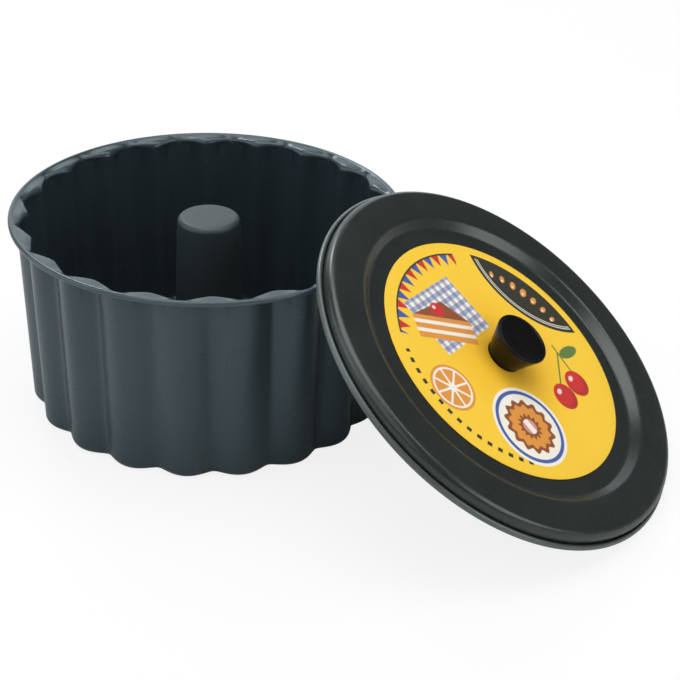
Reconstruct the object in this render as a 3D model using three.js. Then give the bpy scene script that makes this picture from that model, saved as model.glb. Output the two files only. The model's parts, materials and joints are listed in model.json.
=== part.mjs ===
// A fluted pudding mould with a closed chimney, and its lid leaning on the rim.
// Millimetres, +Z up. The lid leans along +X and the whole is centred on its footprint.
import * as THREE from 'three';

// Sheet metal and fits
const sheet = 0.7;
const seatGap = 0.2;
const leanGap = 0.3;

// Mould body
const mouldHeight = 84.5;
const rimRadius = 82.5;
const rimCurl = 1.3;
const lipWidth = 3.5;
const ledgeDrop = 0.5;
const ledgeBend = 3;
const ledgeBreadth = 0.32;
const wallDraft = 1.8;
const footBend = 3.5;
const fluteCount = 20;
const fluteTurn = THREE.MathUtils.degToRad(3.8);
const footFluteDepth = 3.8;
const topFluteDepth = 4;
const valleySoftness = 0.3;
const panelRise = 1.9;
const panelSlope = 2.5;

// Chimney
const chimneyTopRadius = 13.2;
const chimneyTaper = 2.6;
const chimneyDrop = 4.1;
const capBend = 2.5;
const beadStandout = 0.9;
const flangeWidth = 4.5;
const flangeMargin = 7;

// Lid
const lidClearance = 0.4;
const lidHeight = 7.6;
const lidCurl = 1.4;
const lidEdgeBend = 3;
const plateWidth = 13.9;
const recessSlope = 4.4;
const recessDepth = 3.7;
const bossHeight = 3;
const bossDraft = 0.3;

// Knob, its fastening and the label
const knobTopRadius = 11.9;
const knobHeight = 12.6;
const knobWall = 1.1;
const knobDish = 0.5;
const knobEdge = 0.5;
const insertWall = 1.2;
const insertLength = 5.5;
const screwRadius = 2;
const headRadius = 3.7;
const headHeight = 1.8;
const washerRadius = 4.5;
const washerThickness = 0.8;
const labelMargin = 7.2;
const labelThickness = 0.3;
const labelGap = 0.4;

// Where the rim meets the leaning lid, measured in from the edge of the lid's sunk floor
const leanInset = 2;

// Fineness of the facets
const stepsPerFlute = 6;
const lidSteps = 52;
const chimneySteps = 36;
const knobSteps = 32;
const fastenerSteps = 20;
const bendSteps = 3;
const curlSteps = 6;
const curlTurn = THREE.MathUtils.degToRad(285);

const half = sheet / 2;

// Path of a sheet's middle, from corners [r, z, bend radius, steps], as stations with their tangents
function bentPath(corners) {
  const points = corners.map(([r, z]) => new THREE.Vector2(r, z));
  const last = points.length - 1;
  const headings = [];
  for (let i = 0; i < last; i++) {
    headings.push(points[i + 1].clone().sub(points[i]).normalize());
  }
  const stations = [{ at: points[0], heading: headings[0], mitre: 1 }];
  for (let i = 1; i < last; i++) {
    const [, , bend = 0, steps = 1] = corners[i];
    const turn = signedAngle(headings[i - 1], headings[i]);
    if (bend === 0) {
      const heading = headings[i - 1].clone().rotateAround(new THREE.Vector2(), turn / 2);
      stations.push({ at: points[i], heading, mitre: 1 / Math.cos(turn / 2) });
      continue;
    }
    const setback = bend * Math.tan(Math.abs(turn) / 2);
    const start = points[i].clone().addScaledVector(headings[i - 1], -setback);
    stations.push({ at: start, heading: headings[i - 1], mitre: 1 });
    stations.push(...arc(start, headings[i - 1], bend, turn, steps));
  }
  stations.push({ at: points[last], heading: headings[last - 1], mitre: 1 });
  return stations;
}

// Stations of an arc that leaves a point along a heading and turns by an angle
function arc(start, heading, radius, turn, steps) {
  const side = new THREE.Vector2(-heading.y, heading.x).multiplyScalar(Math.sign(turn));
  const centre = start.clone().addScaledVector(side, radius);
  const stations = [];
  for (let i = 1; i <= steps; i++) {
    const angle = (turn * i) / steps;
    const at = start.clone().rotateAround(centre, angle);
    stations.push({ at, heading: heading.clone().rotateAround(new THREE.Vector2(), angle), mitre: 1 });
  }
  return stations;
}

// Carries a path on into a curled edge, which a crease may set off from it
function curled(path, radius, turn, crease = 0) {
  const { at, heading } = path[path.length - 1];
  const creased = heading.clone().rotateAround(new THREE.Vector2(), crease);
  const between = heading.clone().rotateAround(new THREE.Vector2(), crease / 2);
  const fold = { at, heading: between, mitre: 1 / Math.cos(crease / 2) };
  return [...path.slice(0, -1), fold, ...arc(at, creased, radius, turn, curlSteps)];
}

function signedAngle(from, to) {
  return Math.atan2(from.cross(to), from.dot(to));
}

// A sheet whose middle follows a path round the axis. shaped(at, angle) moves a point of the path at an angle.
function pressedSheet(path, steps, shaped = (at) => at) {
  const front = [];
  const back = [];
  for (const { at, heading, mitre } of path) {
    const outer = [];
    const inner = [];
    const count = at.x === 0 ? 1 : steps;
    for (let j = 0; j < count; j++) {
      const angle = (2 * Math.PI * j) / steps;
      const middle = sheetPoint(at, angle, shaped);
      const normal = sheetNormal(at, heading, angle, shaped);
      outer.push(middle.clone().addScaledVector(normal, half * mitre));
      inner.push(middle.clone().addScaledVector(normal, -half * mitre));
    }
    front.push(outer);
    back.unshift(inner);
  }
  return skin([...front, ...back]);
}

function sheetPoint(at, angle, shaped) {
  const { x, y } = shaped(at, angle);
  return new THREE.Vector3(x * Math.cos(angle), x * Math.sin(angle), y);
}

// Normal of the sheet's middle, from short steps along the path and round the axis
function sheetNormal(at, heading, angle, shaped) {
  if (at.x === 0) {
    return new THREE.Vector3(0, 0, Math.sign(heading.x));
  }
  const step = 1e-3;
  const before = at.clone().addScaledVector(heading, -step);
  const after = at.clone().addScaledVector(heading, step);
  const along = sheetPoint(after, angle, shaped).sub(sheetPoint(before, angle, shaped));
  const round = sheetPoint(at, angle + step, shaped).sub(sheetPoint(at, angle - step, shaped));
  return along.cross(round).normalize();
}

// A solid turned from a profile, listed from the top outwards and down
function turned(profile, steps) {
  const rings = profile.map(([r, z]) => {
    const count = r === 0 ? 1 : steps;
    const ring = [];
    for (let j = 0; j < count; j++) {
      const angle = (2 * Math.PI * j) / steps;
      ring.push(new THREE.Vector3(r * Math.cos(angle), r * Math.sin(angle), z));
    }
    return ring;
  });
  return skin(rings);
}

// Closed skin over a loop of rings. A ring of one point is a pole on the axis.
function skin(rings) {
  const positions = [];
  const starts = [];
  for (const ring of rings) {
    starts.push(positions.length / 3);
    for (const point of ring) {
      positions.push(point.x, point.y, point.z);
    }
  }
  const index = [];
  for (let k = 0; k < rings.length; k++) {
    const next = (k + 1) % rings.length;
    const here = rings[k].length;
    const there = rings[next].length;
    const steps = Math.max(here, there);
    for (let j = 0; j < steps && steps > 1; j++) {
      const a = starts[k] + (j % here);
      const b = starts[next] + (j % there);
      const c = starts[next] + ((j + 1) % there);
      const d = starts[k] + ((j + 1) % here);
      if (there > 1) {
        index.push(a, b, c);
      }
      if (here > 1) {
        index.push(a, c, d);
      }
    }
  }
  const geometry = new THREE.BufferGeometry();
  geometry.setAttribute('position', new THREE.Float32BufferAttribute(positions, 3));
  geometry.setIndex(index);
  geometry.computeVertexNormals();
  return geometry;
}

function piece(name, geometry, color, roughness, metalness) {
  const mesh = new THREE.Mesh(geometry, new THREE.MeshStandardMaterial({ color, roughness, metalness }));
  mesh.name = name;
  return mesh;
}

// Chimney foot and base panel, which seat on each other
const chimneyFootMiddle = chimneyTopRadius + chimneyTaper - half;
const baseHoleRadius = chimneyFootMiddle + half + seatGap;
const panelRadius = chimneyFootMiddle + flangeWidth + flangeMargin;
const panelMiddle = panelRise + half;
const panelTop = panelRise + sheet;
const flangeMiddle = panelRise - seatGap - half;
const neckHeight = panelTop + seatGap;

// Wall, ledge and curled rim of the mould, on the line of the valleys between the lobes
const rimCurlMiddle = rimCurl - half;
const rimCurlRadius = rimRadius - rimCurl;
const rimCurlHeight = mouldHeight - rimCurl;
const ledgeMiddle = mouldHeight - ledgeDrop - half;
const ledgeFoot = ledgeMiddle + half - ledgeBend;
const rimStart = Math.asin((ledgeMiddle - rimCurlHeight) / rimCurlMiddle);
const ledgeRadius = rimCurlRadius - rimCurlMiddle * Math.cos(rimStart);
const lobeTopMiddle = rimRadius - lipWidth - half;
const lobeFootMiddle = lobeTopMiddle - wallDraft;
const wallTopMiddle = lobeTopMiddle - topFluteDepth;
const wallFootMiddle = lobeFootMiddle - footFluteDepth;
const footFlatRadius = panelRadius + panelSlope;

// Flutes: broad lobes with rounded valleys between them. The wave is 0 on a lobe's crest and 1 in a valley.
function fluteWave(angle) {
  const lobe = Math.hypot(Math.cos((fluteCount * angle) / 2), valleySoftness);
  return (Math.hypot(1, valleySoftness) - lobe) / (Math.hypot(1, valleySoftness) - valleySoftness);
}

// Moves a point from the line of the valleys out to the lobes. The valleys broaden where they bend into the ledge,
// and a lobe's crest slants up to the rim.
function fluted(at, angle) {
  const bend = THREE.MathUtils.clamp((at.y - ledgeFoot) / (ledgeMiddle - ledgeFoot), 0, 1);
  const lobe = 1 - fluteWave(angle) ** THREE.MathUtils.lerp(1, ledgeBreadth, bend);
  const share = wallShare(at);
  const depth = THREE.MathUtils.lerp(footFluteDepth, topFluteDepth, Math.min(at.y / ledgeFoot, 1));
  const slant = THREE.MathUtils.lerp(ledgeMiddle, ledgeFoot, share);
  const onLedge = at.y > ledgeFoot && at.x < ledgeRadius;
  const height = onLedge ? THREE.MathUtils.lerp(at.y, slant, lobe) : at.y;
  return new THREE.Vector2(at.x + depth * share * lobe, height);
}

// 1 on the wall, falling to 0 on the base panel and across the ledge to the rim
function wallShare(at) {
  if (at.y < panelTop) {
    return THREE.MathUtils.smoothstep(at.x, footFlatRadius, wallFootMiddle - footBend);
  }
  if (at.y < ledgeFoot) {
    return 1;
  }
  return THREE.MathUtils.clamp((ledgeRadius - at.x) / (ledgeRadius - wallTopMiddle), 0, 1);
}

const mouldPath = curled(
  bentPath([
    [baseHoleRadius, panelMiddle],
    [panelRadius, panelMiddle],
    [footFlatRadius, half],
    [wallFootMiddle, half, footBend - half, bendSteps],
    [wallTopMiddle, ledgeMiddle, ledgeBend - half, bendSteps],
    [ledgeRadius, ledgeMiddle],
  ]),
  rimCurlMiddle,
  rimStart - curlTurn,
  Math.PI / 2 - rimStart,
);

const chimneyTopMiddle = mouldHeight - chimneyDrop - half;
const chimneyPath = bentPath([
  [0, chimneyTopMiddle],
  [chimneyTopRadius - half, chimneyTopMiddle, capBend - half, bendSteps],
  [chimneyFootMiddle, neckHeight + 2 * beadStandout],
  [chimneyFootMiddle + beadStandout, neckHeight + beadStandout],
  [chimneyFootMiddle, neckHeight],
  [chimneyFootMiddle, flangeMiddle],
  [chimneyFootMiddle + flangeWidth, flangeMiddle],
]);

// Lid, from the screw hole to the curled edge, in its own frame with the edge's underside at zero
const plateMiddle = lidHeight - half;
const recessMiddle = plateMiddle - recessDepth;
const recessTop = recessMiddle + half;
const recessUnder = recessMiddle - half;
const bossMiddle = recessMiddle + bossHeight;
const bossUnder = bossMiddle - half;
const bossTopMiddle = washerRadius + seatGap + sheet;
const bossFootMiddle = bossTopMiddle + bossDraft;
const screwHoleRadius = screwRadius + seatGap;
const skirtMiddle = rimRadius + lidClearance + half;
const recessOuterRadius = rimRadius - plateWidth;
const recessRadius = recessOuterRadius - recessSlope;
const lidCurlMiddle = lidCurl - half;
const lidCurlRadius = skirtMiddle + lidCurlMiddle;

const lidPath = curled(
  bentPath([
    [screwHoleRadius, bossMiddle],
    [bossTopMiddle, bossMiddle],
    [bossFootMiddle, recessMiddle],
    [recessRadius, recessMiddle],
    [recessOuterRadius, plateMiddle],
    [skirtMiddle, plateMiddle, lidEdgeBend - half, bendSteps],
    [skirtMiddle, lidCurl],
  ]),
  lidCurlMiddle,
  curlTurn,
);

// Knob over the boss, with the bush, screw and washer that hold it
const knobFoot = recessTop + seatGap;
const knobTop = recessTop + knobHeight;
const knobHollowRadius = bossFootMiddle + half + seatGap;
const knobFootRadius = knobHollowRadius + knobWall;
const knobRoof = knobFoot + bossHeight;
const insertHoleRadius = screwRadius + seatGap;
const insertRadius = insertHoleRadius + insertWall;
const insertTop = knobRoof + insertLength;
const knobBoreRadius = insertRadius + seatGap;
const washerTop = bossUnder - seatGap;
const washerBottom = washerTop - washerThickness;
const headTop = washerBottom - seatGap;
const headBottom = headTop - headHeight;
const screwEnd = insertTop - seatGap;
const labelBottom = recessTop + seatGap;
const labelTop = labelBottom + labelThickness;
const labelRadius = recessRadius - labelMargin;
const labelHoleRadius = knobFootRadius + labelGap;

const knobProfile = [
  [0, knobTop - knobDish],
  [knobTopRadius - 2 * knobEdge, knobTop],
  [knobTopRadius - knobEdge, knobTop],
  [knobTopRadius, knobTop - knobEdge],
  [knobFootRadius, knobFoot + knobEdge],
  [knobFootRadius - knobEdge, knobFoot],
  [knobHollowRadius, knobFoot],
  [knobHollowRadius, knobRoof],
  [knobBoreRadius, knobRoof],
  [knobBoreRadius, insertTop + seatGap],
  [0, insertTop + seatGap],
];

const screwProfile = [
  [0, screwEnd],
  [screwRadius, screwEnd],
  [screwRadius, headTop],
  [headRadius, headTop],
  [headRadius, headBottom + headHeight / 2],
  [headRadius - headHeight / 2, headBottom],
  [0, headBottom],
];

function tubeProfile(innerRadius, outerRadius, bottom, top) {
  return [
    [innerRadius, top],
    [outerRadius, top],
    [outerRadius, bottom],
    [innerRadius, bottom],
  ];
}

const mould = new THREE.Group();
mould.name = 'mould';
mould.rotation.z = fluteTurn;
mould.add(
  piece('mould_body', pressedSheet(mouldPath, fluteCount * stepsPerFlute, fluted), 0x3b4448, 0.45, 0.2),
  piece('chimney', pressedSheet(chimneyPath, chimneySteps), 0x3b4448, 0.45, 0.2),
);

const insertProfile = tubeProfile(insertHoleRadius, insertRadius, knobRoof, insertTop);
const washerProfile = tubeProfile(screwHoleRadius, washerRadius, washerBottom, washerTop);
const labelProfile = tubeProfile(labelHoleRadius, labelRadius, labelBottom, labelTop);
const lid = new THREE.Group();
lid.name = 'lid';
lid.add(
  piece('lid_pan', pressedSheet(lidPath, lidSteps), 0x363c3e, 0.4, 0.2),
  piece('lid_knob', turned(knobProfile, knobSteps), 0x101010, 0.3, 0),
  piece('knob_insert', turned(insertProfile, fastenerSteps), 0xb59a4c, 0.35, 1),
  piece('knob_screw', turned(screwProfile, fastenerSteps), 0xa8abad, 0.35, 1),
  piece('knob_washer', turned(washerProfile, fastenerSteps), 0xa8abad, 0.4, 1),
  piece('lid_label', turned(labelProfile, lidSteps), 0xf8cb46, 0.6, 0),
);

// Lean: the lid's curled edge stands on the table and its sunk floor lies against the rim
const contactReach = recessRadius - leanInset;
const contactDepth = recessUnder - leanGap - rimCurl;
const spanAlong = contactReach + lidCurlRadius;
const spanAcross = contactDepth - lidCurl;
const leanRise = rimCurlHeight - lidCurl;
const leanAngle = Math.asin(leanRise / Math.hypot(spanAlong, spanAcross)) - Math.atan2(spanAcross, spanAlong);
lid.rotation.y = leanAngle;
const contact = new THREE.Vector3(-contactReach, 0, contactDepth).applyEuler(lid.rotation);
lid.position.set(rimCurlRadius, 0, rimCurlHeight).sub(contact);

// Centre the footprint on the origin
const part = new THREE.Group();
part.name = 'pudding_mould';
part.add(mould, lid);
part.updateMatrixWorld(true);
const bounds = new THREE.Box3().setFromObject(part, true);
part.position.x = -(bounds.min.x + bounds.max.x) / 2;
part.updateMatrixWorld(true);

export default part;
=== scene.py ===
"""A fluted pudding mould with its chimney, and its lid leaning on the rim."""

import json
import math

import bmesh
import bpy
from bpy.props import FloatProperty, FloatVectorProperty, IntProperty, PointerProperty
from mathutils import Matrix, Vector


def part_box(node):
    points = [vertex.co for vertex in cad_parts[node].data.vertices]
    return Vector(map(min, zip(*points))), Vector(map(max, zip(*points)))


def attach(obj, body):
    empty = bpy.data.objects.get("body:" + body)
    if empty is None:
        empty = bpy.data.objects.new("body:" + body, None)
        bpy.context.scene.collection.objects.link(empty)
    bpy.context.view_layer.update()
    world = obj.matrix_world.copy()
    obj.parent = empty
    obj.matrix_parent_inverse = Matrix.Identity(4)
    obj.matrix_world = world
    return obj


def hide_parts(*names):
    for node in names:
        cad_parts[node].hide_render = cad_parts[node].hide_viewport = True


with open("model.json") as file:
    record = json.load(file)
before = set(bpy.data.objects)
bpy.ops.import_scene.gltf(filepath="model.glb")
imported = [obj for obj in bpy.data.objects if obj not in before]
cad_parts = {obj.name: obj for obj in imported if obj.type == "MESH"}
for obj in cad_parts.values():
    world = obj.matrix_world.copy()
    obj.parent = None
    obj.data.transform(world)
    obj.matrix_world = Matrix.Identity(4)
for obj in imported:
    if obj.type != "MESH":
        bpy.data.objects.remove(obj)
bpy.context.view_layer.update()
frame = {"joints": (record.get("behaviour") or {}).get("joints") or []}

bl_info = {
    "name": "Fluted pudding mould",
    "version": (1, 0, 0),
    "blender": (4, 5, 0),
    "location": "View3D > Sidebar > Mould",
    "description": "Builds a fluted pudding mould and its lid with their finishes",
    "category": "Add Mesh",
}

MM = 0.001
LID_AXIS = Vector(frame["joints"][0]["axis"])
SHARP_ANGLE = math.radians(35)

# How finely the pieces are turned
FLUTE_STEPS = 24
ROUND_STEPS = 288
CHIMNEY_STEPS = 144
KNOB_STEPS = 128
BUSH_STEPS = 96
WASHER_STEPS = 72
SCREW_STEPS = 64
FLOOR_STEPS = 96

# Curled edges, and the trims that keep the sheets inside their solids
CURL_TURN = math.radians(285)
RIM_START = math.radians(56)
RIM_TRIM = 0.1 * MM
EDGE_TRIM = 0.03 * MM
FLOOR_GAP = 0.004 * MM
LEDGE_REACH = 0.1 * MM
SEAM_REACH = 0.002 * MM

# Small bends
PANEL_BEND = 1.6 * MM
CREASE = 0.6 * MM
BOSS_BEND = 0.5 * MM
CARD_EDGE = 0.08 * MM

# Longest edges of the wires that are turned
WALL_SPAN = 9 * MM
LEDGE_SPAN = 0.6 * MM
CHIMNEY_SPAN = 6 * MM
LID_SPAN = 5 * MM
CARD_SPAN = 4 * MM
KNOB_SPAN = 2.5 * MM
SCREW_SPAN = 0.9 * MM

# Finishes: width of an ink's soft edge in millimetres, depths of the grain, tones of the floor
INK_EDGE = 0.35
COAT_GRAIN = 0.06 * MM
CARD_GRAIN = 0.04 * MM
METAL_GRAIN = 0.03 * MM
GLOSS_SHADE = 0.28
FLOOR_GLOW = 0.84
WHITE = (1.0, 1.0, 1.0, 1.0)
BLACK = (0.0, 0.0, 0.0, 1.0)

# Stage
SKY_TINT = (0.94, 0.97, 1.0, 1.0)
SKY_STRENGTH = 0.11
LAMP_WHITE = (1.0, 1.0, 1.0)
LAMP_COOL = (0.88, 0.96, 1.0)
LAMP_AIM = Vector((0.0, 0.0, 0.05))
CAMERA_PLACE = Vector((0.21241, -0.47278, 0.34232))
CAMERA_ANGLES = (24.014, 30.467, 2.467)
CAMERA_LENS = 75.706
CAMERA_SENSOR = 36.0


def length(name, description, millimetres):
    """A size that a user may change, written in millimetres."""
    return FloatProperty(
        name=name, description=description, default=millimetres * MM, min=0.0, unit="LENGTH", precision=5
    )


def colour(name, description, red, green, blue):
    """A colour that a user may change, written in the 0 to 255 values of a paint chart."""
    shade = [linear(channel / 255) for channel in (red, green, blue)]
    return FloatVectorProperty(
        name=name, description=description, default=(*shade, 1.0), size=4, min=0.0, max=1.0, subtype="COLOR"
    )


def linear(value):
    """The linear value of a display value."""
    return value / 12.92 if value <= 0.04045 else ((value + 0.055) / 1.055) ** 2.4


# Sizes and colours


class MouldSizes(bpy.types.PropertyGroup):
    """Sizes of the fluted body and its chimney."""

    sheet: length("Sheet", "Thickness of the pressed sheet", 0.7)
    seat_gap: length("Seat gap", "Play between pieces that seat on each other", 0.2)
    height: length("Height", "Height of the mould to the top of its rim", 84.5)
    rim_radius: length("Rim radius", "Outer radius of the curled rim", 82.5)
    rim_curl: length("Rim curl", "Outer radius of the curl itself", 1.3)
    lip_width: length("Lip width", "How far the rim stands out from the lobes", 3.5)
    ledge_drop: length("Ledge drop", "How far the ledge lies below the top of the rim", 0.5)
    ledge_bend: length("Ledge bend", "Outer radius of the bend from the wall to the ledge", 3.0)
    ledge_breadth: FloatProperty(
        name="Ledge breadth", description="Shape of the ledges, broad where it is small",
        default=0.32, min=0.1, max=1.0,
    )
    wall_draft: length("Wall draft", "How far the wall leans out from foot to lip", 1.8)
    foot_bend: length("Foot bend", "Outer radius of the bend from base to wall", 3.5)
    flutes: IntProperty(name="Flutes", description="Number of lobes round the wall", default=20, min=6)
    flute_turn: FloatProperty(
        name="Flute turn", description="Angle of the first lobe", default=math.radians(3.8), subtype="ANGLE"
    )
    foot_depth: length("Foot flute depth", "Depth of the valleys at the foot", 3.8)
    top_depth: length("Top flute depth", "Depth of the valleys below the ledge", 4.0)
    softness: FloatProperty(
        name="Valley softness", description="Roundness of the valleys between the lobes",
        default=0.3, min=0.05,
    )
    panel_rise: length("Panel rise", "Height of the raised panel in the base", 1.9)
    panel_slope: length("Panel slope", "Width of the slope round the raised panel", 2.5)
    chimney_radius: length("Chimney radius", "Outer radius of the chimney at its top", 13.2)
    chimney_taper: length("Chimney taper", "How much the chimney widens to its foot", 2.6)
    chimney_drop: length("Chimney drop", "How far the chimney stays below the rim", 4.1)
    cap_bend: length("Cap bend", "Outer radius of the chimney's top edge", 2.5)
    bead: length("Foot bead", "Stand-out of the bead that locks the chimney in the base", 0.9)
    flange: length("Flange", "Width of the chimney's flange under the base", 4.5)
    flange_margin: length("Flange margin", "Room round the flange in the raised panel", 7.0)


class LidSizes(bpy.types.PropertyGroup):
    """Sizes of the lid, its knob, the knob's fastening and the label."""

    clearance: length("Clearance", "Play between the lid's skirt and the rim", 0.4)
    height: length("Height", "Height of the lid's plate over the underside of its edge", 7.6)
    curl: length("Edge curl", "Outer radius of the curled edge", 1.4)
    edge_bend: length("Edge bend", "Outer radius of the bend from plate to skirt", 3.0)
    plate_width: length("Plate width", "Distance from the rim's radius to the step", 13.9)
    step_width: length("Step width", "Width of the sloping step", 4.4)
    step_depth: length("Step depth", "How far the middle is sunk", 3.7)
    step_bend: length("Step bend", "Radius of the step's two bends", 3.2)
    boss_height: length("Boss height", "Height of the boss under the knob", 3.0)
    boss_draft: length("Boss draft", "How much the boss widens to its foot", 0.3)
    lean_gap: length("Lean gap", "Play between the leaning lid and the rim", 0.3)
    lean_inset: length("Lean inset", "Distance of the contact from the step", 2.0)
    knob_radius: length("Knob radius", "Radius of the knob at its top", 11.9)
    knob_height: length("Knob height", "Height of the knob over the sunk floor", 12.6)
    knob_wall: length("Knob wall", "Wall of the knob round the boss", 1.1)
    knob_dish: length("Knob dish", "Depth of the hollow in the knob's top", 0.5)
    knob_edge: length("Knob edge", "Radius of the knob's edges", 0.5)
    insert_wall: length("Bush wall", "Wall of the threaded bush", 1.2)
    insert_length: length("Bush length", "Length of the threaded bush", 5.5)
    screw_radius: length("Screw radius", "Radius of the screw's thread", 2.0)
    screw_pitch: length("Screw pitch", "Distance between the screw's threads", 0.7)
    head_radius: length("Head radius", "Radius of the screw's head", 3.7)
    head_height: length("Head height", "Height of the screw's head", 1.8)
    washer_radius: length("Washer radius", "Outer radius of the washer", 4.5)
    washer_thickness: length("Washer thickness", "Thickness of the washer", 0.8)
    label_margin: length("Label margin", "Bare width between the label and the step", 7.2)
    label_thickness: length("Label thickness", "Thickness of the printed card", 0.3)
    label_gap: length("Label gap", "Gap between the label and the knob", 0.4)
    label_turn: FloatProperty(
        name="Label turn", description="Angle of the print on the lid",
        default=math.radians(57), subtype="ANGLE",
    )


class FinishColours(bpy.types.PropertyGroup):
    """Colours of the finishes."""

    mould: colour("Mould coating", "Non-stick coating of the mould", 44, 53, 58)
    mould_streak: colour("Mould streak", "Lighter streaks in the mould's coating", 51, 61, 67)
    # Painted highlight: a lighter colour laid along the mould's curled rim
    mould_edge_highlight: colour("Mould rub", "Coating rubbed along the mould's rim", 74, 84, 89)
    mould_sheen: colour("Mould sheen", "Tint of the light that the mould's coating reflects", 220, 247, 255)
    lid: colour("Lid coating", "Non-stick coating of the lid", 31, 35, 34)
    lid_streak: colour("Lid streak", "Lighter marks in the lid's coating", 38, 42, 41)
    # Painted highlight: a lighter colour laid along the lid's curled edge
    lid_edge_highlight: colour("Lid rub", "Coating rubbed along the lid's edge", 104, 110, 110)
    lid_sheen: colour("Lid sheen", "Tint of the light that the lid's coating reflects", 244, 255, 251)
    knob: colour("Knob", "Black phenolic moulding", 10, 10, 9)
    brass: colour("Brass", "Turned brass", 206, 173, 96)
    steel: colour("Steel", "Plated steel", 190, 193, 196)
    ground: colour("Label ground", "Ground colour of the label", 252, 206, 56)
    ground_warm: colour("Label ground, warm", "Deeper tone of the ground towards the knob", 249, 192, 40)
    ink: colour("Dark ink", "Dark printing ink", 45, 45, 37)
    cream: colour("Cream ink", "Pale printing ink", 246, 240, 226)
    red: colour("Red ink", "Red printing ink", 206, 44, 46)
    blue: colour("Blue ink", "Blue printing ink", 62, 94, 168)
    brown: colour("Brown ink", "Brown printing ink", 146, 78, 38)
    gold: colour("Gold ink", "Golden printing ink", 226, 150, 62)
    green: colour("Green ink", "Green printing ink", 98, 124, 62)
    floor: colour("Floor", "Pale studio floor", 244, 244, 244)


# Shader expressions


class Wire:
    """A shader socket in an expression. Arithmetic on it adds Math nodes to the finish."""

    def __init__(self, finish, socket):
        self.finish = finish
        self.socket = socket

    def math(self, operation, *others, clamp=False):
        return self.finish.math(operation, self, *others, clamp=clamp)

    def __add__(self, other):
        return self.math("ADD", other)

    __radd__ = __add__

    def __sub__(self, other):
        return self.math("SUBTRACT", other)

    def __rsub__(self, other):
        return self.finish.math("SUBTRACT", other, self)

    def __mul__(self, other):
        return self.math("MULTIPLY", other)

    __rmul__ = __mul__

    def __truediv__(self, other):
        return self.math("DIVIDE", other)

    def __pow__(self, other):
        return self.math("POWER", other)

    def __abs__(self):
        return self.math("ABSOLUTE")


class Finish:
    """A material that is being put together from nodes."""

    def __init__(self, name):
        self.material = bpy.data.materials.new(name)
        self.material.use_nodes = True
        self.tree = self.material.node_tree
        self.tree.nodes.clear()

    def node(self, kind, settings, sockets, output=0):
        """Adds a node, sets it, fills or links its sockets and gives one of its outputs."""
        made = self.tree.nodes.new(kind)
        for key, value in settings.items():
            setattr(made, key, value)
        for key, value in sockets.items():
            if isinstance(value, Wire):
                self.tree.links.new(value.socket, made.inputs[key])
            else:
                made.inputs[key].default_value = value
        return Wire(self, made.outputs[output])

    def math(self, operation, *values, clamp=False):
        settings = {"operation": operation, "use_clamp": clamp}
        return self.node("ShaderNodeMath", settings, dict(enumerate(values)))

    def mix(self, share, under, over):
        """One colour over another by a share from 0 to 1."""
        return self.node("ShaderNodeMix", {"data_type": "RGBA"}, {0: share, 6: under, 7: over}, 2)

    def noise(self, place, scale, detail):
        """Soft random patches from 0 to 1."""
        sockets = {"Vector": place, "Scale": scale, "Detail": detail}
        return self.node("ShaderNodeTexNoise", {}, sockets, "Fac")

    def band(self, value, low, high):
        """0 at low and 1 at high, with a soft start and end."""
        settings = {"interpolation_type": "SMOOTHSTEP"}
        return self.node("ShaderNodeMapRange", settings, {"Value": value, "From Min": low, "From Max": high})

    def place(self, location=(0, 0, 0), rotation=(0, 0, 0), scale=(1, 1, 1)):
        """Object coordinates as seen from a frame set down on the piece."""
        here = self.node("ShaderNodeTexCoord", {}, {}, "Object")
        sockets = {"Vector": here, "Location": location, "Rotation": rotation, "Scale": scale}
        return self.node("ShaderNodeMapping", {"vector_type": "TEXTURE"}, sockets)

    def outputs(self, kind, sockets, keys):
        """Adds a node and gives several of its outputs."""
        made = self.node(kind, {}, sockets).socket.node
        return [Wire(self, made.outputs[key]) for key in keys]

    def split(self, vector):
        """The three numbers of a vector."""
        return self.outputs("ShaderNodeSeparateXYZ", {"Vector": vector}, "XYZ")

    def bump(self, height, strength, depth):
        """A normal that follows a fine relief."""
        sockets = {"Height": height, "Strength": strength, "Distance": depth}
        return self.node("ShaderNodeBump", {}, sockets, "Normal")

    def surface(self, sockets):
        """Ends the material in a Principled BSDF with these sockets."""
        return self.output(self.node("ShaderNodeBsdfPrincipled", {}, sockets, "BSDF"))

    def output(self, shader):
        """Ends the material in a shader."""
        end = self.tree.nodes.new("ShaderNodeOutputMaterial")
        self.tree.links.new(shader.socket, end.inputs["Surface"])
        return self.material


# Finishes


def scaled(tone, factor):
    """A colour made darker or lighter."""
    return (*(factor * channel for channel in tone[:3]), 1.0)


def coating_finish(name, tones, edge, location, rotation, stretch):
    """Sprayed coating with faint drawing marks along the stretch, and a painted highlight laid lighter along
    the curled edge.
    """
    base, streak, edge_highlight, tint = tones
    finish = Finish(name)
    place = finish.place(location, rotation)
    stretched = finish.place(location, rotation, stretch)
    marks = finish.band(finish.noise(stretched, 60.0, 3.0), 0.35, 0.75)
    cloud = finish.band(finish.noise(place, 28.0, 2.0), 0.3, 0.7)
    spray = finish.noise(place, 2600.0, 2.0)
    peel = finish.noise(place, 700.0, 1.0)
    shade = finish.mix(marks * 0.35 + cloud * 0.25 + spray * 0.4, base, streak)
    across, along, _ = finish.split(place)
    # Painted highlight: the colour turns lighter in a band across the curled edge, patchy with the cloud
    edge_highlight_share = finish.band((across * across + along * along) ** 0.5, *edge)
    sockets = {
        "Base Color": finish.mix(edge_highlight_share * (0.4 + cloud * 0.3), shade, edge_highlight),
        "Roughness": 0.23 + marks * 0.03 + cloud * 0.03 + spray * 0.05,
        "Specular IOR Level": 0.7,
        "Specular Tint": tint,
        "Normal": finish.bump(spray * 0.35 + peel * 0.65, 0.12, COAT_GRAIN),
    }
    return finish.surface(sockets)


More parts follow.
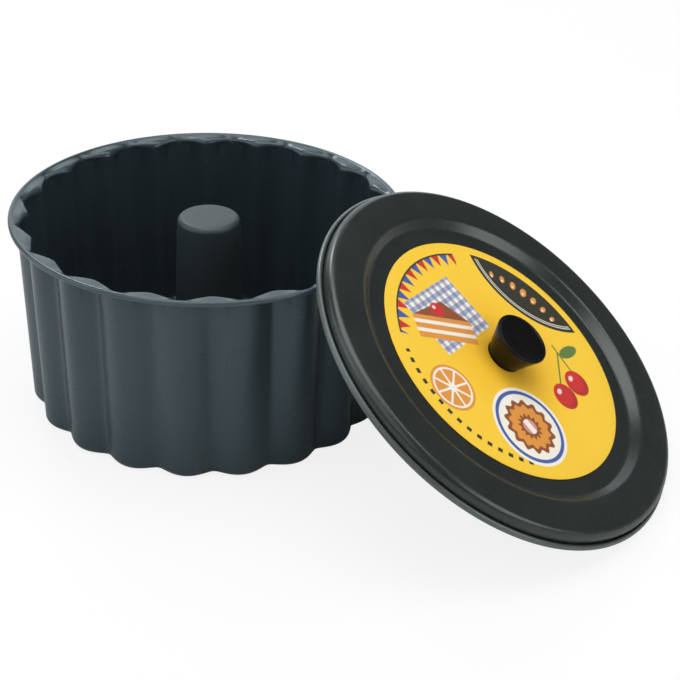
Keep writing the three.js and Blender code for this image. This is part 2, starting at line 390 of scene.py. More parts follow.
def phenolic_finish(name, base):
    """Black phenolic with a pressed gloss and fine handling marks."""
    finish = Finish(name)
    place = finish.place()
    cloud = finish.band(finish.noise(place, 180.0, 3.0), 0.3, 0.75)
    rub = finish.band(finish.noise(place, 1500.0, 4.0), 0.5, 0.75)
    lighter = scaled(base, 2.2)
    sockets = {
        "Base Color": finish.mix(cloud * 0.3 + rub * 0.2, base, lighter),
        "Roughness": 0.22 + cloud * 0.05 + rub * 0.05,
        "Specular IOR Level": 0.18,
        "Normal": finish.bump(finish.noise(place, 420.0, 2.0), 0.03, COAT_GRAIN),
    }
    return finish.surface(sockets)


def metal_finish(name, base, location, rotation):
    """Turned metal, with fine rings round its axis and a little tarnish."""
    finish = Finish(name)
    place = finish.place(location, rotation)
    across, along, height = finish.split(place)
    reach = (across * across + along * along) ** 0.5
    rings = finish.math("SINE", (reach + height) * 26000.0) * 0.5 + 0.5
    tarnish = finish.band(finish.noise(place, 900.0, 3.0), 0.4, 0.75)
    dull = scaled(base, 0.45)
    sockets = {
        "Base Color": finish.mix(tarnish * 0.4, base, dull),
        "Metallic": 1.0,
        "Roughness": 0.26 + rings * 0.06 + tarnish * 0.16,
        "Normal": finish.bump(rings, 0.08, METAL_GRAIN),
    }
    return finish.surface(sockets)


class Print(Finish):
    """A printed card. Places on it are in millimetres from its middle, and inks are laid over each other."""

    def __init__(self, name, ground, radius):
        super().__init__(name)
        sheet = self.node("ShaderNodeUVMap", {"uv_map": "print"}, {})
        across, up, _ = self.split(sheet)
        self.x = (across - 0.5) * (2 * radius / MM)
        self.y = (up - 0.5) * (2 * radius / MM)
        self.shade = ground

    def turned(self, x, y, degrees):
        """The place on the card as seen from a point on it, in a turned frame."""
        cos = math.cos(math.radians(degrees))
        sin = math.sin(math.radians(degrees))
        east = self.x - x
        north = self.y - y
        return east * cos + north * sin, north * cos - east * sin

    def reach(self, x, y):
        """The distance from a point."""
        east, north = self.turned(x, y, 0)
        return (east * east + north * north) ** 0.5

    def disc(self, x, y, radius):
        """The distance from a disc, below 0 inside it."""
        return self.reach(x, y) - radius

    def oval(self, x, y, half_width, half_height, degrees):
        """Roughly the distance from an oval."""
        east, north = self.turned(x, y, degrees)
        wide = east / half_width
        tall = north / half_height
        return ((wide * wide + tall * tall) ** 0.5 - 1.0) * min(half_width, half_height)

    def bar(self, x, y, half_width, half_height, degrees):
        """Roughly the distance from a straight bar."""
        east, north = self.turned(x, y, degrees)
        return self.both(abs(east) - half_width, abs(north) - half_height)

    def both(self, first, *others):
        """Inside all of several shapes."""
        for other in others:
            first = first.math("MAXIMUM", other)
        return first

    def cover(self, distance):
        """1 inside a shape and 0 outside, with the soft edge of ink on card."""
        return self.math("SUBTRACT", 0.5, distance / INK_EDGE, clamp=True)

    def lay(self, distance, ink, share=1.0):
        """Prints an ink inside a shape."""
        self.shade = self.mix(self.cover(distance) * share, self.shade, ink)


def card_finish(name, inks, radius):
    """The label's print, laid motif by motif over a ground that deepens towards the knob."""
    card = Print(name, inks.ground[:], radius)
    middle = card.reach(0, 0)
    angle = card.y.math("ARCTAN2", card.x)
    card.shade = card.mix(1.0 - card.band(middle, 10.0, 42.0), inks.ground[:], inks.ground_warm[:])

    # Dark lens along the upper right, with pale rules and gold drops in it
    far = card.reach(50, 50)
    card.lay(card.both(middle - 53.0, far - 38.5), inks.ink[:])
    for rule in (36.6, 35.6):
        card.lay(card.both(middle - 51.4, abs(far - rule) - 0.22), inks.cream[:], 0.9)
    for step in range(-3, 4):
        degrees = 45 + 7 * step
        east = math.cos(math.radians(degrees))
        north = math.sin(math.radians(degrees))
        drop = 2.6 - 0.3 * abs(step)
        card.lay(card.oval(45.4 * east, 45.4 * north, drop, 0.62 * drop, degrees), inks.gold[:])
        card.lay(card.disc(44.6 * east, 44.6 * north, 0.6), inks.cream[:], 0.8)

    # Row of little flags on a cord along the upper left edge
    spread = (abs(angle - math.radians(128)) - math.radians(39)) * 50.0
    cell = card.math("WRAP", angle * 30.0 / math.pi, 0.5, -0.5)
    flag = card.both(spread, abs(cell) * 5.2 - (middle - 45.4) * 0.4, middle - 51.0)
    turns = card.math("WRAP", angle * 15.0 / math.pi + 0.25, 1.0, 0.0)
    card.lay(flag, inks.red[:])
    card.lay(card.both(flag, (turns - 0.5) * 9.0), inks.blue[:])
    card.lay(card.both(spread, abs(middle - 51.2) - 0.4), inks.ink[:])

    # Check cloth
    warp, weft = card.turned(-20, 20, 24)
    cloth = card.both(abs(warp) - 17.0, abs(weft) - 13.5)
    card.lay(cloth, inks.cream[:])
    for thread in (warp, weft):
        wave = card.math("SINE", thread * 1.55) * -1.0
        card.lay(card.both(cloth, wave), inks.blue[:], 0.55)

    # Slice of cake on the cloth: side with its layers, then the glazed top and a berry
    run, lift = card.turned(-25, 13, -8)
    side = card.both(abs(run) - 15.0, abs(lift) - 5.6)
    card.lay(side, inks.gold[:])
    for layer in (-1.8, 2.5):
        card.lay(card.both(side, abs(lift - layer) - 0.9), inks.cream[:])
    top = card.both(5.6 - lift, run * 0.72 + lift - 16.0, lift - run * 0.5 - 12.8)
    card.lay(top, inks.brown[:])
    card.lay(card.disc(-24.5, 22.5, 3.4), inks.red[:])
    card.lay(card.disc(-25.6, 23.7, 0.9), inks.cream[:], 0.8)

    # Slice of orange
    orange = (-37, -14)
    east, north = card.turned(*orange, 12)
    fruit = card.reach(*orange)
    spokes = abs(card.math("SINE", north.math("ARCTAN2", east) * 4.0)) * fruit
    card.lay(fruit - 10.5, inks.gold[:])
    card.lay(fruit - 9.3, inks.cream[:])
    card.lay(card.both(fruit - 8.4, 1.9 - spokes), inks.gold[:])

    # Ring pudding on a rimmed plate
    plate = (-6, -33)
    plate_radius = 18.0
    east, north = card.turned(*plate, 0)
    lobes = card.math("COSINE", north.math("ARCTAN2", east) * 14.0)
    pudding = card.reach(*plate)
    card.lay(pudding - plate_radius, inks.cream[:])
    card.lay(abs(pudding - 15.8) - 0.8, inks.blue[:])
    card.lay(pudding - (11.6 + lobes * 0.9), inks.brown[:])
    card.lay(abs(pudding - 7.4) - (2.2 + lobes * 0.7), inks.gold[:])
    card.lay(pudding - 3.4, inks.cream[:])
    card.lay(card.both(pudding - 3.4, 1.6 - abs(east + north * 0.4)), inks.red[:], 0.7)

    # Two cherries with their stalks and a leaf
    cherries = ((24, -20, 62), (35, -14, 104))
    for x, y, lean in cherries:
        card.lay(card.bar((x + 34) / 2, (y + 3) / 2 + 2, 9.0, 0.4, lean), inks.green[:])
    for x, y, _ in cherries:
        cherry = card.disc(x, y, 6.2)
        card.lay(cherry, inks.red[:])
        card.lay(card.oval(x - 2.2, y + 2.4, 1.7, 1.1, 40), inks.cream[:], 0.75)
        card.lay(card.both(cherry, 5.4 - card.reach(x - 1.2, y + 1.2)), inks.ink[:], 0.25)
    card.lay(card.oval(40, 1.5, 6.5, 2.6, 18), inks.green[:])

    # Beads along the lower left edge
    beads = card.math("SINE", angle * 66.0)
    edge = abs(middle - 51.0)
    arc = card.both((math.radians(106) - abs(angle)) * 50.0, plate_radius - pudding)
    card.lay(card.both(arc, edge - 0.9, 0.15 - beads, card.y - 4.0), inks.ink[:])

    grain = card.noise(card.place(), 3200.0, 3.0)
    sockets = {
        "Base Color": card.mix(grain * 0.03, card.shade, inks.cream[:]),
        "Roughness": 0.42 + grain * 0.12,
        "Specular IOR Level": 0.3,
        "Normal": card.bump(grain, 0.06, CARD_GRAIN),
    }
    return card.surface(sockets)


def floor_finish(name, base):
    """A pale floor that shows white to the camera and greyer in gloss, and still takes the shadow."""
    finish = Finish(name)
    seen, gloss = finish.outputs("ShaderNodeLightPath", {}, ("Is Camera Ray", "Is Glossy Ray"))
    grain = finish.noise(finish.place(), 40.0, 2.0)
    pale = finish.mix(grain * 0.04, base, WHITE)
    tone = finish.mix(gloss * GLOSS_SHADE, pale, BLACK)
    paint = finish.node("ShaderNodeBsdfDiffuse", {}, {"Color": tone})
    glow = finish.node("ShaderNodeEmission", {}, {"Color": WHITE, "Strength": 1.0})
    white = finish.node("ShaderNodeMixShader", {}, {0: FLOOR_GLOW, 1: paint, 2: glow})
    return finish.output(finish.node("ShaderNodeMixShader", {}, {0: seen, 1: paint, 2: white}))


# Modelling


def traced(points):
    """A wire through points of radius and height, some with the radius and the steps of a bend."""
    bm = bmesh.new()
    spots = [Vector((point[0], 0.0, point[1])) for point in points]
    verts = [bm.verts.new(spot) for spot in spots]
    for start, end in zip(verts, verts[1:]):
        bm.edges.new((start, end))
    for index, point in enumerate(points):
        if len(point) > 2:
            turn = (spots[index] - spots[index - 1]).angle(spots[index + 1] - spots[index])
            bmesh.ops.bevel(
                bm, geom=[verts[index]], offset=point[2] * math.tan(turn / 2), offset_type="ABSOLUTE",
                segments=point[3], profile=0.5, affect="VERTICES", material=-1,
            )
    return bm, verts[-1]


def ring_points(inner, outer, low, high, edge):
    """The section of a flat ring with rounded edges, started in the middle of its top."""
    start = ((inner + outer) / 2, high)
    corners = ((outer, high), (outer, low), (inner, low), (inner, high))
    return [start, *((radius, height, edge, 3) for radius, height in corners), start]


def curl(bm, end, centre, turn, steps):
    """Carries a wire on from its end in an arc about a centre."""
    place = (centre[0], 0.0, centre[1])
    bmesh.ops.spin(bm, geom=[end], cent=place, axis=(0, 1, 0), angle=turn, steps=steps)


def divide(bm, longest):
    """Cuts a wire's long edges so that none is longer than this."""
    for edge in list(bm.edges):
        cuts = int(edge.calc_length() / longest)
        if cuts:
            bmesh.ops.subdivide_edges(bm, edges=[edge], cuts=cuts)


def revolve(bm, steps):
    """Turns a wire round the upright axis and closes the seam and the poles."""
    geom = bm.verts[:] + bm.edges[:]
    bmesh.ops.spin(
        bm, geom=geom, cent=(0, 0, 0), axis=(0, 0, 1), angle=2 * math.pi, steps=steps, use_merge=True
    )
    bmesh.ops.remove_doubles(bm, verts=bm.verts, dist=SEAM_REACH)
    bmesh.ops.recalc_face_normals(bm, faces=bm.faces)


def settle(name, bm, place, finish, body, node, sheet=0.0):
    """Sets a mesh in its place as a piece of the object, riding on a body and standing for a CAD node."""
    bmesh.ops.transform(bm, matrix=place, verts=bm.verts)
    for face in bm.faces:
        face.smooth = True
    for edge in bm.edges:
        edge.smooth = not edge.is_manifold or edge.calc_face_angle() < SHARP_ANGLE
    mesh = bpy.data.meshes.new(name)
    bm.to_mesh(mesh)
    bm.free()
    mesh.materials.append(finish)
    piece = bpy.data.objects.new(name, mesh)
    bpy.context.scene.collection.objects.link(piece)
    if sheet:
        wall = piece.modifiers.new("Sheet", "SOLIDIFY")
        wall.thickness = sheet
        wall.offset = 0.0
        wall.use_even_offset = True
        wall.use_quality_normals = True
    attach(piece, body)
    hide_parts(node)
    return piece


def smoothstep(value, low, high):
    """0 at low and 1 at high, with a soft start and end."""
    share = min(max((value - low) / (high - low), 0.0), 1.0)
    return share * share * (3 - 2 * share)


def mix_number(low, high, share):
    """A number between two others."""
    return low + (high - low) * share


# Where the pieces stand


def mould_place():
    """The mould's own frame, on its axis with its first lobe turned."""
    low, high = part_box("mould_body")
    sizes = bpy.context.scene.mould_sizes
    return Matrix.Translation(((low.x + high.x) / 2, 0.0, 0.0)) @ Matrix.Rotation(sizes.flute_turn, 4, "Z")


def chimney_foot():
    """Radius of the middle of the chimney's sheet at its foot."""
    sizes = bpy.context.scene.mould_sizes
    return sizes.chimney_radius + sizes.chimney_taper - sizes.sheet / 2


def lid_levels():
    """Heights and radii of the lid that several of its pieces share."""
    mould = bpy.context.scene.mould_sizes
    lid = bpy.context.scene.lid_sizes
    half = mould.sheet / 2
    levels = {}
    levels["plate"] = lid.height - half
    levels["floor"] = levels["plate"] - lid.step_depth
    levels["floor_top"] = levels["floor"] + half
    levels["floor_under"] = levels["floor"] - half
    levels["boss"] = levels["floor"] + lid.boss_height
    levels["skirt"] = mould.rim_radius + lid.clearance + half
    levels["step_out"] = mould.rim_radius - lid.plate_width
    levels["step_in"] = levels["step_out"] - lid.step_width
    levels["boss_top"] = lid.washer_radius + mould.seat_gap + mould.sheet
    levels["boss_foot"] = levels["boss_top"] + lid.boss_draft
    levels["knob_foot"] = levels["floor_top"] + mould.seat_gap
    levels["knob_hollow"] = levels["boss_foot"] + half + mould.seat_gap
    levels["knob_foot_radius"] = levels["knob_hollow"] + lid.knob_wall
    levels["knob_roof"] = levels["knob_foot"] + lid.boss_height
    levels["bush_top"] = levels["knob_roof"] + lid.insert_length
    levels["screw_hole"] = lid.screw_radius + mould.seat_gap
    levels["bush_radius"] = levels["screw_hole"] + lid.insert_wall
    levels["washer_top"] = levels["boss"] - half - mould.seat_gap
    levels["washer_bottom"] = levels["washer_top"] - lid.washer_thickness
    levels["head_top"] = levels["washer_bottom"] - mould.seat_gap
    levels["head_bottom"] = levels["head_top"] - lid.head_height
    levels["label_radius"] = levels["step_in"] - lid.label_margin
    return levels


def lid_place():
    """The lid's own frame: its sunk floor lies against the rim, square to the axis that it lifts along."""
    mould = bpy.context.scene.mould_sizes
    lid = bpy.context.scene.lid_sizes
    levels = lid_levels()
    lean = math.atan2(LID_AXIS.x, LID_AXIS.z)
    turn = Matrix.Rotation(lean, 4, "Y")
    reach = levels["step_in"] - lid.lean_inset
    depth = levels["floor_under"] - lid.lean_gap - mould.rim_curl
    axis_x = mould_place().translation.x
    rim = Vector((axis_x + mould.rim_radius - mould.rim_curl, 0.0, mould.height - mould.rim_curl))
    origin = rim - turn @ Vector((-reach, 0.0, depth))
    return Matrix.Translation(origin) @ turn


def lid_frame():
    """Where the lid's frame stands and how it is turned, for a pattern on the lid."""
    place = lid_place()
    return place.translation[:], place.to_euler()[:]


# Operators, one for each piece or group of pieces


class MOULD_OT_body(bpy.types.Operator):
    """Press the fluted body: base panel, fluted wall, ledges and curled rim"""

    bl_idname = "mould.body"
    bl_label = "Fluted body"

    def execute(self, context):
        sizes = context.scene.mould_sizes
        colours = context.scene.finish_colours
        self.sizes = sizes
        half = sizes.sheet / 2
        panel_radius = chimney_foot() + sizes.flange + sizes.flange_margin
        curl_radius = sizes.rim_radius - sizes.rim_curl
        curl_height = sizes.height - sizes.rim_curl
        curl_middle = sizes.rim_curl - half - RIM_TRIM
        lobe_top = sizes.rim_radius - sizes.lip_width - half
        self.wall_top = lobe_top - sizes.top_depth
        self.wall_foot = lobe_top - sizes.wall_draft - sizes.foot_depth
        self.bend_radius = self.wall_foot - sizes.foot_bend
        self.panel_top = sizes.panel_rise + sizes.sheet
        self.flat_radius = panel_radius + sizes.panel_slope
        self.ledge = sizes.height - sizes.ledge_drop - half
        self.ledge_foot = self.ledge + half - sizes.ledge_bend
        start_radius = curl_radius - curl_middle * math.cos(RIM_START)
        start_height = curl_height + curl_middle * math.sin(RIM_START)
        self.ledge_radius = start_radius - (start_height - self.ledge) * math.tan(RIM_START)
        bm, end = traced([
            (chimney_foot() + half + sizes.seat_gap, sizes.panel_rise + half),
            (panel_radius, sizes.panel_rise + half, PANEL_BEND, 5),
            (self.flat_radius, half, PANEL_BEND, 5),
            (self.wall_foot, half, sizes.foot_bend - half, 12),
            (self.wall_top, self.ledge, sizes.ledge_bend - half, 12),
            (self.ledge_radius, self.ledge, CREASE, 3),
            (start_radius, start_height),
        ])
        curl(bm, end, (curl_radius, curl_height), CURL_TURN - RIM_START, 16)
        divide(bm, WALL_SPAN)
        for edge in list(bm.edges):
            low = min(vert.co.z for vert in edge.verts)
            if low > self.ledge - LEDGE_REACH and edge.calc_length() > LEDGE_SPAN:
                bmesh.ops.subdivide_edges(bm, edges=[edge], cuts=5)
        revolve(bm, sizes.flutes * FLUTE_STEPS)
        for vert in bm.verts:
            self.flute(vert)
        bmesh.ops.translate(bm, vec=(0.0, 0.0, FLOOR_GAP), verts=bm.verts)
        # The coating's band across the rim's curl carries a painted highlight
        finish = coating_finish(
            "mould_coating",
            (colours.mould[:], colours.mould_streak[:], colours.mould_edge_highlight[:], colours.mould_sheen[:]),
            (sizes.rim_radius - sizes.rim_curl, sizes.rim_radius),
            mould_place().translation[:], (0, 0, 0), (1.0, 1.0, 14.0),
        )
        place = mould_place()
        settle("mould_body_shell", bm, place, finish, "mould", "mould_body", sizes.sheet)
        return {"FINISHED"}

    def wave(self, angle):
        """0 on a lobe's crest and 1 in a valley."""
        soft = self.sizes.softness
        lobe = math.hypot(math.cos(self.sizes.flutes * angle / 2), soft)
        return (math.hypot(1, soft) - lobe) / (math.hypot(1, soft) - soft)

    def flute(self, vert):
        """Moves a point from the line of the valleys out to the lobes, whose crests slant up to the rim."""
        sizes = self.sizes
        reach = math.hypot(vert.co.x, vert.co.y)
        height = vert.co.z
        depth = mix_number(sizes.foot_depth, sizes.top_depth, min(height / self.ledge_foot, 1.0))
        bend = min(max((height - self.ledge_foot) / (self.ledge - self.ledge_foot), 0.0), 1.0)
        wave = self.wave(math.atan2(vert.co.y, vert.co.x))
        lobe = 1 - wave ** mix_number(1.0, sizes.ledge_breadth, bend)
        share = self.wall_share(reach, height)
        vert.co.xy *= 1 + depth * share * lobe / reach
        if height > self.ledge_foot and reach < self.ledge_radius:
            vert.co.z = mix_number(height, mix_number(self.ledge, self.ledge_foot, share), lobe)

    def wall_share(self, reach, height):
        """1 on the wall, falling to 0 on the base panel and across the ledge to the rim."""
        if height < self.panel_top:
            return smoothstep(reach, self.flat_radius, self.bend_radius)
        if height < self.ledge_foot:
            return 1.0
        return min(max((self.ledge_radius - reach) / (self.ledge_radius - self.wall_top), 0.0), 1.0)


class MOULD_OT_chimney(bpy.types.Operator):
    """Draw the chimney with its closed top, its foot bead and the flange under the base"""

    bl_idname = "mould.chimney"
    bl_label = "Chimney"

    def execute(self, context):
        sizes = context.scene.mould_sizes
        half = sizes.sheet / 2
        top = sizes.height - sizes.chimney_drop - half
        foot = chimney_foot()
        flange = sizes.panel_rise - sizes.seat_gap - half
        neck = sizes.panel_rise + sizes.sheet + sizes.seat_gap
        bm, _ = traced([
            (0.0, top),
            (sizes.chimney_radius - half, top, sizes.cap_bend - half, 10),
            (foot, neck + 2 * sizes.bead, 0.4 * MM, 3),
            (foot + sizes.bead, neck + sizes.bead, 0.5 * MM, 5),
            (foot, neck, 0.3 * MM, 3),
            (foot, flange, 0.4 * MM, 4),
            (foot + sizes.flange, flange),
        ])
        divide(bm, CHIMNEY_SPAN)
        revolve(bm, CHIMNEY_STEPS)
        finish = bpy.data.materials["mould_coating"]
        settle("chimney_tube", bm, mould_place(), finish, "mould", "chimney", sizes.sheet)
        return {"FINISHED"}


class MOULD_OT_lid(bpy.types.Operator):
    """Press the lid: boss, sunk floor, step, plate, skirt and curled edge"""

    bl_idname = "mould.lid"
    bl_label = "Lid"

    def execute(self, context):
        sizes = context.scene.lid_sizes
        colours = context.scene.finish_colours
        sheet = context.scene.mould_sizes.sheet
        levels = lid_levels()
        curl_middle = sizes.curl - sheet / 2 - EDGE_TRIM
        bm, end = traced([
            (levels["screw_hole"], levels["boss"]),
            (levels["boss_top"], levels["boss"], BOSS_BEND, 4),
            (levels["boss_foot"], levels["floor"], BOSS_BEND, 4),
            (levels["step_in"], levels["floor"], sizes.step_bend, 8),
            (levels["step_out"], levels["plate"], sizes.step_bend, 8),
            (levels["skirt"], levels["plate"], sizes.edge_bend - sheet / 2 + EDGE_TRIM, 10),
            (levels["skirt"], sizes.curl),
        ])
        curl(bm, end, (levels["skirt"] + curl_middle, sizes.curl), -CURL_TURN, 18)
        divide(bm, LID_SPAN)
        revolve(bm, ROUND_STEPS)
        location, rotation = lid_frame()
        # The coating's band across the lid's curled edge carries a painted highlight
        finish = coating_finish(
            "lid_coating",
            (colours.lid[:], colours.lid_streak[:], colours.lid_edge_highlight[:], colours.lid_sheen[:]),
            (levels["skirt"] + sizes.curl / 2, levels["skirt"] + 1.5 * sizes.curl),
            location, rotation, (1.0, 1.0, 6.0),
        )
        settle("lid_pan_shell", bm, lid_place(), finish, "lid", "lid_pan", sheet)
        return {"FINISHED"}


class MOULD_OT_knob(bpy.types.Operator):
    """Mould the tapered knob with its dished top and the hollow over the boss"""

    bl_idname = "mould.knob"
    bl_label = "Knob"

    def execute(self, context):
        sizes = context.scene.lid_sizes
        gap = context.scene.mould_sizes.seat_gap
        levels = lid_levels()
        top = levels["floor_top"] + sizes.knob_height
        bore = levels["bush_radius"] + gap
        bore_top = levels["bush_top"] + gap
        lip = 1.6 * sizes.knob_edge
        bm, _ = traced([
            (0.0, top - sizes.knob_dish),
            (sizes.knob_radius - 2 * lip, top - 0.85 * sizes.knob_dish, 3 * MM, 5),
            (sizes.knob_radius - lip, top, sizes.knob_edge, 4),
            (sizes.knob_radius, top, sizes.knob_edge, 6),
            (levels["knob_foot_radius"], levels["knob_foot"], sizes.knob_edge, 5),
            (levels["knob_hollow"], levels["knob_foot"], 0.2 * MM, 3),
            (levels["knob_hollow"], levels["knob_roof"], 0.3 * MM, 3),
            (bore, levels["knob_roof"], 0.2 * MM, 3),
            (bore, bore_top, 0.2 * MM, 3),
            (0.0, bore_top),
        ])
        divide(bm, KNOB_SPAN)
        revolve(bm, KNOB_STEPS)
        finish = phenolic_finish("phenolic", context.scene.finish_colours.knob[:])
        settle("lid_knob_moulding", bm, lid_place(), finish, "lid", "lid_knob")
        return {"FINISHED"}


class MOULD_OT_fastening(bpy.types.Operator):
    """Make the knob's fastening: the knurled bush, the washer and the cross-head screw"""

    bl_idname = "mould.fastening"
    bl_label = "Knob fastening"

    def execute(self, context):
        colours = context.scene.finish_colours
        location, rotation = lid_frame()
        brass = metal_finish("brass", colours.brass[:], location, rotation)
        steel = metal_finish("steel", colours.steel[:], location, rotation)
        self.sizes = context.scene.lid_sizes
        self.levels = lid_levels()
        self.gap = context.scene.mould_sizes.seat_gap
        settle("knob_bush", self.bush(), lid_place(), brass, "lid", "knob_insert")
        settle("knob_plain_washer", self.washer(), lid_place(), steel, "lid", "knob_washer")
        settle("knob_cross_screw", self.screw(), lid_place(), steel, "lid", "knob_screw")
        return {"FINISHED"}

    def ring(self, inner, outer, low, high, edge, steps):
        """A turned ring with broken edges."""
        bm, _ = traced(ring_points(inner, outer, low, high, edge))
        revolve(bm, steps)
        return bm

    def bush(self):
        """A bush with every third line of its outside sunk as a knurl."""
        hole = self.levels["screw_hole"]
        radius = self.levels["bush_radius"]
        knurl = 0.12 * MM
        bm = self.ring(hole, radius, self.levels["knob_roof"], self.levels["bush_top"], 0.2 * MM, BUSH_STEPS)
        for vert in bm.verts:
            reach = math.hypot(vert.co.x, vert.co.y)
            line = round(math.atan2(vert.co.y, vert.co.x) / (2 * math.pi) * BUSH_STEPS)
            if reach > radius - 0.01 * MM and line % 3 == 0:
                vert.co.xy *= 1 - knurl / reach
        return bm

    def washer(self):
        """A plain flat washer."""
        hole = self.levels["screw_hole"]
        low = self.levels["washer_bottom"]
        high = self.levels["washer_top"]
        return self.ring(hole, self.sizes.washer_radius, low, high, 0.15 * MM, WASHER_STEPS)

    def screw(self):
        """A pan head with a cross recess below, and ridges for the thread on the shank."""
        sizes = self.sizes
        levels = self.levels
        end = levels["bush_top"] - self.gap
        pitch = sizes.screw_pitch
        core = sizes.screw_radius - 0.45 * pitch
        flat = 0.06 * pitch
        turns = int((end - levels["head_top"] - pitch) / pitch)
        points = [(0.0, end), (core, end)]
        for turn in range(turns):
            crest = end - (turn + 0.75) * pitch
            points.append((sizes.screw_radius, crest + flat))
            points.append((sizes.screw_radius, crest - flat))
            points.append((core, crest - 0.5 * pitch))
        crown = levels["head_bottom"] + 0.45 * sizes.head_height
        points.append((core, levels["head_top"]))
        points.append((sizes.head_radius, levels["head_top"], 0.2 * MM, 3))
        points.append((sizes.head_radius, crown, 0.8 * MM, 5))
        points.append((0.62 * sizes.head_radius, levels["head_bottom"], 1.2 * MM, 5))
        points.append((0.0, levels["head_bottom"]))
        bm, _ = traced(points)
        divide(bm, SCREW_SPAN)
        revolve(bm, SCREW_STEPS)
        self.cross(bm)
        return bm

    def cross(self, bm):
        """Sinks a cross into the underside of the head."""
        slot = 0.42 * MM
        arm = 1.9 * MM
        deep = 0.9 * MM
        under = self.levels["head_bottom"] + 0.5 * self.sizes.head_height
        for axis in range(2):
            for offset in (-arm, -slot, slot, arm):
                place = Vector((0.0, 0.0, 0.0))
                normal = Vector((0.0, 0.0, 0.0))
                place[axis] = offset
                normal[axis] = 1.0
                low = [face for face in bm.faces if face.calc_center_median().z < under]
                geom = {item for face in low for item in (face, *face.edges, *face.verts)}
                bmesh.ops.bisect_plane(bm, geom=list(geom), dist=1e-7, plane_co=place, plane_no=normal)
        sunk = []
        for face in bm.faces:
            centre = face.calc_center_median()
            across, along = abs(centre.x), abs(centre.y)
            in_cross = min(across, along) < slot and max(across, along) < arm
            if in_cross and centre.z < under and face.normal.z < -0.3:
                sunk.append(face)
        made = bmesh.ops.extrude_face_region(bm, geom=sunk)["geom"]
        bmesh.ops.delete(bm, geom=sunk, context="FACES")
        moved = [item for item in made if isinstance(item, bmesh.types.BMVert)]
        bmesh.ops.translate(bm, vec=(0.0, 0.0, deep), verts=moved)
        bmesh.ops.recalc_face_normals(bm, faces=bm.faces)


class MOULD_OT_label(bpy.types.Operator):
    """Cut and print the round card label"""

    bl_idname = "mould.label"
    bl_label = "Label"

    def execute(self, context):
        sizes = context.scene.lid_sizes
        levels = lid_levels()
        radius = levels["label_radius"]
        hole = levels["knob_foot_radius"] + sizes.label_gap
        low = levels["floor_top"] + context.scene.mould_sizes.seat_gap
        high = low + sizes.label_thickness
        bm, _ = traced(ring_points(hole, radius, low, high, CARD_EDGE))
        divide(bm, CARD_SPAN)
        revolve(bm, ROUND_STEPS)
        self.unroll(bm, radius, sizes.label_turn)
        finish = card_finish("label_card", context.scene.finish_colours, radius)
        settle("lid_label_card", bm, lid_place(), finish, "lid", "lid_label")
        return {"FINISHED"}

    def unroll(self, bm, radius, turn):
        """Lays the print flat on the card, turned to read from the front."""
        layer = bm.loops.layers.uv.new("print")
        for face in bm.faces:
            for loop in face.loops:
                spot = loop.vert.co
                across = spot.x * math.cos(turn) + spot.y * math.sin(turn)
                up = spot.y * math.cos(turn) - spot.x * math.sin(turn)
                loop[layer].uv = (0.5 + across / (2 * radius), 0.5 + up / (2 * radius))


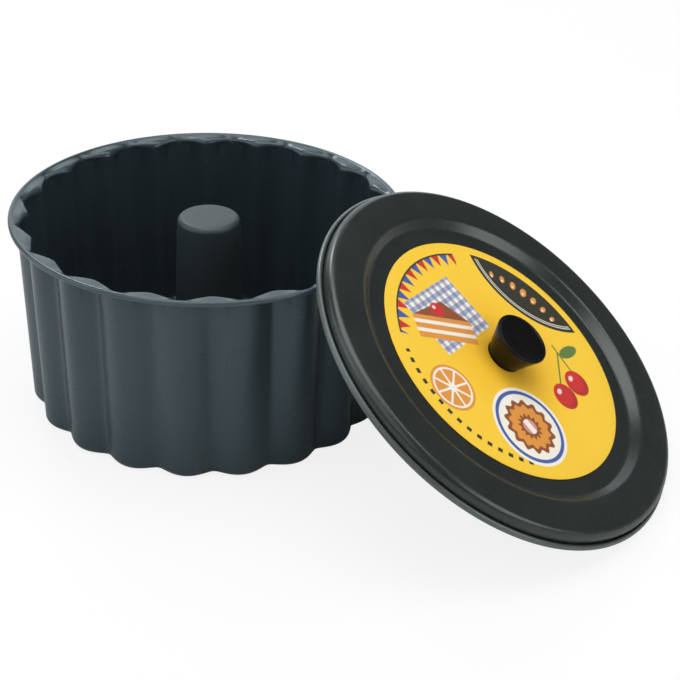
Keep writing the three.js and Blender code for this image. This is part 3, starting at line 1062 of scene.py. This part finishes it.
class MOULD_OT_stage(bpy.types.Operator):
    """Set the pale floor, the soft lights and the camera"""

    bl_idname = "mould.stage"
    bl_label = "Stage"

    def execute(self, context):
        scene = context.scene
        self.floor(scene)
        self.world(scene)
        self.lamp("back_softbox", (-0.75, 1.00, 0.55), (1.6, 1.0), 5.2, LAMP_COOL)
        self.lamp("high_softbox", (-0.73, 0.53, 0.93), (0.3, 0.3), 3.0, LAMP_WHITE)
        self.lamp("top_softbox", (0.00, 0.08, 1.28), (1.1, 0.95), 9.0, LAMP_WHITE)
        self.lamp("top_strip", (0.68, 0.36, 1.04), (0.6, 0.2), 1.3, LAMP_WHITE)
        self.lamp("right_softbox", (1.05, -0.10, 0.50), (0.8, 0.45), 2.9, LAMP_WHITE)
        self.lamp("left_softbox", (-1.25, -0.60, 0.60), (1.2, 1.0), 4.4, LAMP_COOL)
        self.lamp("front_softbox", (-0.35, -1.10, 1.10), (2.0, 1.5), 9.0, LAMP_WHITE)
        self.camera(scene)
        scene.view_settings.view_transform = "Standard"
        return {"FINISHED"}

    def floor(self, scene):
        """A wide round floor that turns up into a low rim far outside the object."""
        flat_radius = 2.6
        rim_radius = 3.0
        rim_height = 0.9
        sink = 0.1 * MM
        bm, _ = traced([(0.0, 0.0), (flat_radius, 0.0, 0.8, 10), (rim_radius, rim_height)])
        divide(bm, 0.3)
        revolve(bm, FLOOR_STEPS)
        bmesh.ops.reverse_faces(bm, faces=[face for face in bm.faces if face.normal.z < 0])
        bmesh.ops.translate(bm, vec=(0.0, 0.0, -sink), verts=bm.verts)
        mesh = bpy.data.meshes.new("floor")
        bm.to_mesh(mesh)
        bm.free()
        mesh.shade_smooth()
        mesh.materials.append(floor_finish("floor", scene.finish_colours.floor[:]))
        floor = bpy.data.objects.new("floor", mesh)
        scene.collection.objects.link(floor)

    def world(self, scene):
        """A faint even light from all round."""
        scene.world = bpy.data.worlds.new("studio")
        scene.world.use_nodes = True
        background = scene.world.node_tree.nodes["Background"]
        background.inputs["Color"].default_value = SKY_TINT
        background.inputs["Strength"].default_value = SKY_STRENGTH

    def lamp(self, name, place, size, power, tint):
        """A soft rectangular lamp turned to the object."""
        data = bpy.data.lights.new(name, "AREA")
        data.shape = "RECTANGLE"
        data.size, data.size_y = size
        data.energy = power
        data.color = tint
        lamp = bpy.data.objects.new(name, data)
        lamp.location = place
        lamp.rotation_euler = (LAMP_AIM - lamp.location).to_track_quat("-Z", "Y").to_euler()
        bpy.context.scene.collection.objects.link(lamp)

    def camera(self, scene):
        """A camera at the picture's angle."""
        azimuth, elevation, roll = (math.radians(degrees) for degrees in CAMERA_ANGLES)
        right = Vector((math.cos(azimuth), math.sin(azimuth), 0.0))
        level = Vector((math.sin(azimuth), -math.cos(azimuth), 0.0))
        back = level * math.cos(elevation) + Vector((0.0, 0.0, math.sin(elevation)))
        up = back.cross(right)
        turned_right = right * math.cos(roll) + up * math.sin(roll)
        turned_up = up * math.cos(roll) - right * math.sin(roll)
        data = bpy.data.cameras.new("camera")
        data.lens = CAMERA_LENS
        data.sensor_width = CAMERA_SENSOR
        camera = bpy.data.objects.new("camera", data)
        turn = Matrix((turned_right, turned_up, back)).transposed()
        camera.matrix_world = Matrix.Translation(CAMERA_PLACE) @ turn.to_4x4()
        scene.collection.objects.link(camera)
        scene.camera = camera


class MOULD_PT_kit(bpy.types.Panel):
    """The steps and sizes of the mould"""

    bl_idname = "MOULD_PT_kit"
    bl_label = "Pudding mould"
    bl_space_type = "VIEW_3D"
    bl_region_type = "UI"
    bl_category = "Mould"

    def draw(self, context):
        for operator in OPERATORS:
            self.layout.operator(operator.bl_idname)
        for group in SETTINGS:
            settings = getattr(context.scene, group)
            box = self.layout.box()
            for key in settings.__annotations__:
                box.prop(settings, key)


SETTINGS = {"mould_sizes": MouldSizes, "lid_sizes": LidSizes, "finish_colours": FinishColours}
OPERATORS = (
    MOULD_OT_body,
    MOULD_OT_chimney,
    MOULD_OT_lid,
    MOULD_OT_knob,
    MOULD_OT_fastening,
    MOULD_OT_label,
    MOULD_OT_stage,
)
CLASSES = (*SETTINGS.values(), *OPERATORS, MOULD_PT_kit)


def register():
    for kind in CLASSES:
        bpy.utils.register_class(kind)
    for name, kind in SETTINGS.items():
        setattr(bpy.types.Scene, name, PointerProperty(type=kind))


def unregister():
    for name in SETTINGS:
        delattr(bpy.types.Scene, name)
    for kind in reversed(CLASSES):
        bpy.utils.unregister_class(kind)


def main():
    register()
    bpy.ops.mould.body()
    bpy.ops.mould.chimney()
    bpy.ops.mould.lid()
    bpy.ops.mould.knob()
    bpy.ops.mould.fastening()
    bpy.ops.mould.label()
    bpy.ops.mould.stage()


if __name__ == "__main__":
    main()
